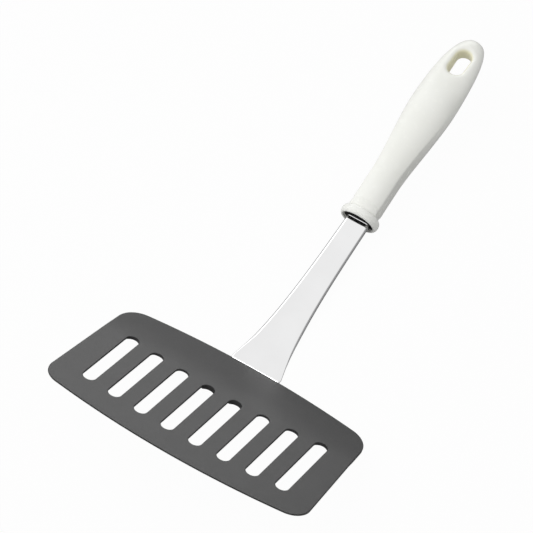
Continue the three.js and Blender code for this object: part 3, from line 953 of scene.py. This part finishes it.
# %% Collar of the handle
COLLAR_WIDTH = 22.3
COLLAR_HEIGHT = 20.4
COLLAR_LIP = 1.5
BEAD_LENGTH = 5.2
COLLAR_LENGTH = 6.8
MOUTH_WIDTH = 18.4
MOUTH_HEIGHT = 16.6
MOUTH_DEPTH = 4.4
LIP_ROUND = 0.4
LIP_STEPS = 6
BEAD_STEPS = 20
NECK_STEPS = 10


def collar_rings():
    rings = [ring_at(MOUTH_DEPTH, MOUTH_WIDTH, MOUTH_HEIGHT, 0)]
    for turn in quarter_turns(LIP_STEPS):
        wider = 2 * LIP_ROUND * (1 - math.cos(turn))
        y = LIP_ROUND * (1 - math.sin(turn))
        rings.append(ring_at(y, MOUTH_WIDTH + wider, MOUTH_HEIGHT + wider, 0))
    for step in range(BEAD_STEPS + 1):
        turn = math.pi * step / BEAD_STEPS
        inset = 2 * COLLAR_LIP * (1 - math.sin(turn))
        y = BEAD_LENGTH / 2 * (1 - math.cos(turn))
        rings.append(ring_at(y, COLLAR_WIDTH - inset, COLLAR_HEIGHT - inset, 0))
    end_width = COLLAR_WIDTH - 2 * COLLAR_LIP
    end_height = COLLAR_HEIGHT - 2 * COLLAR_LIP
    for turn in quarter_turns(NECK_STEPS)[1:]:
        share = math.sin(turn)
        y = between(BEAD_LENGTH, COLLAR_LENGTH, 1 - math.cos(turn))
        width = between(end_width, NECK_WIDTH, share)
        rings.append(ring_at(y, width, between(end_height, NECK_HEIGHT, share), share))
    return rings


print("Collar rings:", len(collar_rings()))

# %% [markdown]
# Behind the collar runs a fine groove. From there the rings go on to the tip, where they crowd
# together. The last ring stops just short of the tip, because a ring there would shrink to a
# point, and a small face closes the end.

# %% Handle rings from the groove to the tip
GROOVE_WIDTH = 3.6
GROOVE_DEPTH = 0.3
GROOVE_STEPS = 18
GRIP_STEPS = 89
TIP_STEPS = 48
LAST_RING = 0.996


def grip_rings():
    rings = []
    for step in range(1, GROOVE_STEPS + 1):
        share = step / GROOVE_STEPS
        sunk = GROOVE_DEPTH * math.sin(math.pi * share) ** 2
        rings.append(grip_ring(COLLAR_LENGTH + GROOVE_WIDTH * share, sunk))
    first = COLLAR_LENGTH + GROOVE_WIDTH
    for step in range(1, GRIP_STEPS + 1):
        rings.append(grip_ring(between(first, BUTT_AT, step / GRIP_STEPS)))
    for step in range(1, TIP_STEPS + 1):
        past = math.sin(math.pi / 2 * LAST_RING * step / TIP_STEPS)
        rings.append(grip_ring(between(BUTT_AT, HANDLE_LENGTH, past)))
    return rings


handle_skin = Skin()
handle_rows = handle_skin.closed_loft(collar_rings() + grip_rings())
print("Handle rings:", len(handle_rows))

# %% [markdown]
# The hang hole goes right through the butt. Its rims are rounded over, wide above and small
# below, so that they run into the skin. A Bevel on a Boolean cut breaks up on a curved skin, so
# the cutter itself carries the rounding: it is a stack of long ovals that widen as they come up
# to the skin, and each oval follows the crown of the butt at an even depth.

# %% Hang hole
HOLE_AT = 106.8
HOLE_LENGTH = 16.8
HOLE_HALF = 4.4
HOLE_END_STEPS = 36
HOLE_SIDE_STEPS = 12


def hole_outline(grow):
    straight_half = HOLE_LENGTH / 2 - HOLE_HALF
    radius = HOLE_HALF + grow
    back = arc((0, HOLE_AT + straight_half), radius, 0, math.pi, HOLE_END_STEPS)
    front = arc((0, HOLE_AT - straight_half), radius, math.pi, 2 * math.pi, HOLE_END_STEPS)
    left = straight(back[-1], front[0], HOLE_SIDE_STEPS)
    right = straight(front[-1], back[0], HOLE_SIDE_STEPS)
    return back + left + front + right


def butt_skin(x, y):
    sideways = min(1, abs(x) / (grip_width(y) / 2))
    return grip_height(y) / 2 * math.sqrt(1 - sideways * sideways)


print("Half the butt's height at the hole, mm:", round(butt_skin(0, HOLE_AT), 1))

# %% Rims of the hang hole
HOLE_RIM = 3.3
HOLE_UNDER_RIM = 1.2
RIM_TURN = math.radians(84)
RIM_TURN_STEPS = 12
RIM_OVERRUN = 1.5


def rim_levels(radius):
    levels = []
    for step in range(RIM_TURN_STEPS + 1):
        turn = RIM_TURN * step / RIM_TURN_STEPS
        levels.append((radius * (1 - math.cos(turn)), radius * (math.sin(turn) - 1)))
    outer_grow = levels[-1][0] + RIM_OVERRUN * math.sin(RIM_TURN)
    levels.append((outer_grow, levels[-1][1] + RIM_OVERRUN * math.cos(RIM_TURN)))
    levels.append((outer_grow, BUTT_HEIGHT))
    return levels


def hole_cutter():
    under = rim_levels(HOLE_UNDER_RIM)[::-1]
    over = rim_levels(HOLE_RIM)
    rows = []
    for side, levels in ((-1, under), (1, over)):
        for grow, up in levels:
            loop = hole_outline(grow)
            rows.append([(x, y, grip_centre(y) + side * (butt_skin(x, y) + up)) for x, y in loop])
    skin = Skin()
    skin.closed_loft(rows)
    return skin


print("Levels of the upper rim:", len(rim_levels(HOLE_RIM)))

# %% Handle
handle_place = Matrix.Translation(mouth) @ Matrix.Rotation(HANDLE_RISE, 4, "X")
handle = make_piece("handle", handle_skin, handle_place)
cut(handle, make_piece("hole_cutter", hole_cutter(), handle_place))
cut(handle, pocket_cutter())
print("Handle points:", len(handle.data.vertices))

# %% [markdown]
# ## Plug
# A dark plug closes the mouth of the handle round the stem. Its front is domed, and the
# slot for the stem has a rounded lip. Since it is a ring with a slot in it, its rows can run
# from the slot out to the rim and back, like the rings of a washer.

# %% Plug rows
PLUG_WIDTH = 17.8
PLUG_HEIGHT = 16.0
PLUG_FRONT = 1.0
PLUG_DOME = 1.1
PLUG_SHOULDER = 1.7
PLUG_REAR = 4.1
SLOT_LIP = 0.35
SLOT_LIP_STEPS = 6
FRONT_ROWS = 8
DOME_STEPS = 10


def plug_slot(grow, y):
    tilt = y * math.tan(STEM_RISE - HANDLE_RISE)
    outside = stem_outside(stem_half(STEM_LENGTH), FLANGE_DEPTH, POCKET_GAP + grow)
    middle = [(x, up + FLANGE_DEPTH / 2 + tilt) for x, up in outside]
    start = min(range(len(middle)), key=lambda k: abs(middle[k][1] - tilt) - middle[k][0])
    return even_loop(middle[start:] + middle[:start])


def plug_oval(inset):
    return even_ring(PLUG_WIDTH - 2 * inset, PLUG_HEIGHT - 2 * inset, 0)


def plug_rows():
    rows = [(plug_slot(0, PLUG_REAR), PLUG_REAR)]
    for turn in quarter_turns(SLOT_LIP_STEPS):
        grow = SLOT_LIP * (1 - math.cos(turn))
        y = PLUG_FRONT + SLOT_LIP * (1 - math.sin(turn))
        rows.append((plug_slot(grow, PLUG_FRONT), y))
    inner, outer = plug_slot(SLOT_LIP, PLUG_FRONT), plug_oval(PLUG_SHOULDER)
    for step in range(1, FRONT_ROWS):
        rows.append((between(inner, outer, step / FRONT_ROWS), PLUG_FRONT))
    for turn in quarter_turns(DOME_STEPS):
        y = PLUG_FRONT + PLUG_DOME * (1 - math.cos(turn))
        rows.append((plug_oval(PLUG_SHOULDER * (1 - math.sin(turn))), y))
    rows.append((plug_oval(0), PLUG_REAR))
    return [[(x, y, z) for x, z in loop] for loop, y in rows]


plug_skin = Skin()
plug_placed = plug_skin.loft(plug_rows())
plug_skin.join(plug_placed[-1], plug_placed[0])
plug = make_piece("mouth_plug", plug_skin, handle_place)
print("Plug points:", len(plug.data.vertices))

# %% [markdown]
# ## Finishes
# Each finish starts from one Principled shader. The even values, such as the metal, are set on
# the shader itself. The uneven ones, such as grain, come from noise in the piece's own space,
# so that they stay on the surface from every side.


# %% Helper: a new finish
def new_finish(name, metallic, roughness):
    material = bpy.data.materials.new(name)
    material.use_nodes = True
    shader = material.node_tree.nodes["Principled BSDF"]
    shader.inputs["Metallic"].default_value = metallic
    shader.inputs["Roughness"].default_value = roughness
    return material, shader


# %% Helper: noise in the piece's own space
def noise(material, scale, detail, stretch=(1, 1, 1)):
    tree = material.node_tree
    place = tree.nodes.new("ShaderNodeTexCoord")
    mapping = tree.nodes.new("ShaderNodeMapping")
    mapping.inputs["Scale"].default_value = stretch
    texture = tree.nodes.new("ShaderNodeTexNoise")
    texture.inputs["Scale"].default_value = scale
    texture.inputs["Detail"].default_value = detail
    tree.links.new(place.outputs["Object"], mapping.inputs["Vector"])
    tree.links.new(mapping.outputs["Vector"], texture.inputs["Vector"])
    return texture


# %% Helper: noise into a value, a colour or a relief
NOISE_LOW = 0.3
NOISE_HIGH = 0.7


def spread(material, source, socket, low, high):
    ramp = material.node_tree.nodes.new("ShaderNodeMapRange")
    ramp.inputs["From Min"].default_value = NOISE_LOW
    ramp.inputs["From Max"].default_value = NOISE_HIGH
    ramp.inputs["To Min"].default_value = low
    ramp.inputs["To Max"].default_value = high
    material.node_tree.links.new(source.outputs["Fac"], ramp.inputs["Value"])
    material.node_tree.links.new(ramp.outputs["Result"], socket)


def colours(material, source, socket, dark, light):
    ramp = material.node_tree.nodes.new("ShaderNodeValToRGB")
    ramp.color_ramp.elements[0].position = NOISE_LOW
    ramp.color_ramp.elements[0].color = (*dark, 1)
    ramp.color_ramp.elements[1].position = NOISE_HIGH
    ramp.color_ramp.elements[1].color = (*light, 1)
    material.node_tree.links.new(source.outputs["Fac"], ramp.inputs["Fac"])
    material.node_tree.links.new(ramp.outputs["Color"], socket)


def bump(material, source, shader, depth):
    relief = material.node_tree.nodes.new("ShaderNodeBump")
    relief.inputs["Strength"].default_value = 1.0
    relief.inputs["Distance"].default_value = depth * MM
    material.node_tree.links.new(source.outputs["Fac"], relief.inputs["Height"])
    material.node_tree.links.new(relief.outputs["Normal"], shader.inputs["Normal"])


# %% Helper: values kept on the points of a piece
def keep_on_points(piece, name, values):
    attribute = piece.data.attributes.new(name, "FLOAT", "POINT")
    for point, value in zip(attribute.data, values):
        point.value = value
    print("Kept", name, "on", len(attribute.data), "points of", piece.name)


def point_value(material, name):
    attribute = material.node_tree.nodes.new("ShaderNodeAttribute")
    attribute.attribute_name = name
    return attribute.outputs["Fac"]


def two_tone(material, share, socket, second):
    mix = material.node_tree.nodes.new("ShaderNodeMix")
    mix.data_type = "RGBA"
    mix.inputs["B"].default_value = (*second, 1)
    material.node_tree.links.new(share, mix.inputs["Factor"])
    material.node_tree.links.new(mix.outputs["Result"], socket)
    return mix.inputs["A"]


# %% [markdown]
# ### Black nylon
# The blade comes from a mould with a fine matt grain, so its gloss is broken up and its black
# looks grey where it mirrors the bright background at a low angle. The heel is worn a little
# more matt than the plate. How far a point lies into the heel is kept as an attribute of the
# mesh, because a value on the points can be mixed into any finish.

# %% Heel of the blade
HEEL_FADE = 14
into_blade = blade_place.inverted()


def heel_at(vertex):
    return ease((into_blade @ (vertex.co / MM)).y, BEND_FROM, BEND_TO + HEEL_FADE)


keep_on_points(blade, "heel", [heel_at(vertex) for vertex in blade.data.vertices])

# %% Black nylon
NYLON_DARK = (0.010, 0.010, 0.0102)
NYLON_LIGHT = (0.014, 0.014, 0.0142)
HEEL_MATT = 0.07

nylon, nylon_shader = new_finish("black_nylon", metallic=0.0, roughness=0.45)
nylon_shader.inputs["Specular IOR Level"].default_value = 0.35
nylon_grain = noise(nylon, scale=2600, detail=3)
nylon_cloud = noise(nylon, scale=60, detail=4)
colours(nylon, nylon_cloud, nylon_shader.inputs["Base Color"], NYLON_DARK, NYLON_LIGHT)
heel_matt = nylon.node_tree.nodes.new("ShaderNodeMath")
heel_matt.operation = "MULTIPLY_ADD"
heel_matt.inputs[1].default_value = HEEL_MATT
nylon.node_tree.links.new(point_value(nylon, "heel"), heel_matt.inputs[0])
spread(nylon, nylon_grain, heel_matt.inputs[2], low=0.34, high=0.46)
nylon.node_tree.links.new(heel_matt.outputs[0], nylon_shader.inputs["Roughness"])
bump(nylon, nylon_grain, nylon_shader, depth=0.006)
finish_piece(blade, "blade", nylon, crisp_angle=35)

# %% [markdown]
# ### Polished steel
# The stem is polished along its length. Fine lines run with it, and they blur the mirror
# image a little across the stem. The lines come from noise that is stretched along the stem.
# The flanges get a darker steel colour, a painted shade that stands in for the shadowed table
# which they mirror: an attribute says how far down the flanges each point lies.

# %% Painted shade on the flanges of the stem
FLANGE_FROM = 0.4
FLANGE_TO = 1.0

flange_shade_values = []
for place, slope, half, depth, raised in stem_stations:
    for x, up in stem_section(half, depth):
        flange_shade_values.append(ease(-up, FLANGE_FROM, FLANGE_TO))
keep_on_points(stem, "flange_shade", flange_shade_values)

# %% Polished steel
STEEL_DARK = (0.81, 0.81, 0.812)
STEEL_LIGHT = (0.85, 0.85, 0.852)
# Painted shade: the flanges' darker steel stands in for the shadowed table that they mirror.
FLANGE_PAINTED_SHADE = (0.56, 0.56, 0.565)

steel, steel_shader = new_finish("polished_steel", metallic=1.0, roughness=0.14)
steel_lines = noise(steel, scale=1, detail=3, stretch=(9000, 90, 9000))
steel_cloud = noise(steel, scale=45, detail=3)
steel_colour = steel_shader.inputs["Base Color"]
top_colour = two_tone(steel, point_value(steel, "flange_shade"), steel_colour, FLANGE_PAINTED_SHADE)
colours(steel, steel_cloud, top_colour, STEEL_DARK, STEEL_LIGHT)
spread(steel, steel_lines, steel_shader.inputs["Roughness"], low=0.07, high=0.13)
bump(steel, steel_lines, steel_shader, depth=0.0006)
finish_piece(stem, "stem", steel, crisp_angle=40)

# %% [markdown]
# ### Ivory plastic
# The handle is a smooth, satin moulding in warm white. A little light enters the plastic and
# comes out beside the place where it went in, which softens the shading, so the shader has
# some subsurface. The colour drifts very slightly, and the surface has the soft waves of a
# polished mould. Inside the hang hole the colour is painted warmer: a painted tint for the
# light that bounces from wall to wall there.

# %% Painted bounce light in the hang hole
PAINTED_BOUNCE_RIM = 0.45
into_handle = handle_place.inverted()


def painted_bounce_at(vertex):
    x, y, z = into_handle @ (vertex.co / MM)
    past_end = max(0, abs(y - HOLE_AT) - HOLE_LENGTH / 2 + HOLE_HALF)
    return 1 - ease(math.hypot(x, past_end) - HOLE_HALF, 0, HOLE_RIM * PAINTED_BOUNCE_RIM)


keep_on_points(handle, "painted_bounce", [painted_bounce_at(vertex) for vertex in handle.data.vertices])

# %% Ivory plastic
IVORY_DARK = (0.84, 0.845, 0.80)
IVORY_LIGHT = (0.87, 0.875, 0.835)
# Painted bounce light: a warmer colour on the hole's walls stands in for light bouncing inside
# the hole.
HOLE_PAINTED_BOUNCE = (0.86, 0.84, 0.67)
LIGHT_DEPTH = 2.5

ivory, ivory_shader = new_finish("ivory_plastic", metallic=0.0, roughness=0.3)
ivory_shader.inputs["Specular IOR Level"].default_value = 0.15
ivory_shader.inputs["Subsurface Weight"].default_value = 0.4
ivory_shader.inputs["Subsurface Radius"].default_value = (1.0, 1.0, 1.0)
ivory_shader.inputs["Subsurface Scale"].default_value = LIGHT_DEPTH * MM
ivory_cloud = noise(ivory, scale=35, detail=3)
ivory_waves = noise(ivory, scale=220, detail=2)
ivory_colour = ivory_shader.inputs["Base Color"]
skin_colour = two_tone(ivory, point_value(ivory, "painted_bounce"), ivory_colour, HOLE_PAINTED_BOUNCE)
colours(ivory, ivory_cloud, skin_colour, IVORY_DARK, IVORY_LIGHT)
spread(ivory, ivory_waves, ivory_shader.inputs["Roughness"], low=0.235, high=0.285)
bump(ivory, ivory_waves, ivory_shader, depth=0.0025)
finish_piece(handle, "handle", ivory, crisp_angle=40)

# %% [markdown]
# ### Dark plastic
# The plug is a matt, nearly black moulding deep in the mouth. With hardly any mirror in its
# surface, it stays dark between the bright steel and the white bead.

# %% Dark plastic
PLUG_DARK = (0.008, 0.008, 0.0082)
PLUG_LIGHT = (0.012, 0.012, 0.0122)

dark, dark_shader = new_finish("dark_plastic", metallic=0.0, roughness=0.5)
dark_shader.inputs["Specular IOR Level"].default_value = 0.02
dark_cloud = noise(dark, scale=300, detail=3)
colours(dark, dark_cloud, dark_shader.inputs["Base Color"], PLUG_DARK, PLUG_LIGHT)
spread(dark, dark_cloud, dark_shader.inputs["Roughness"], low=0.42, high=0.58)
bump(dark, dark_cloud, dark_shader, depth=0.004)
finish_piece(plug, "mouth_plug", dark, crisp_angle=40)
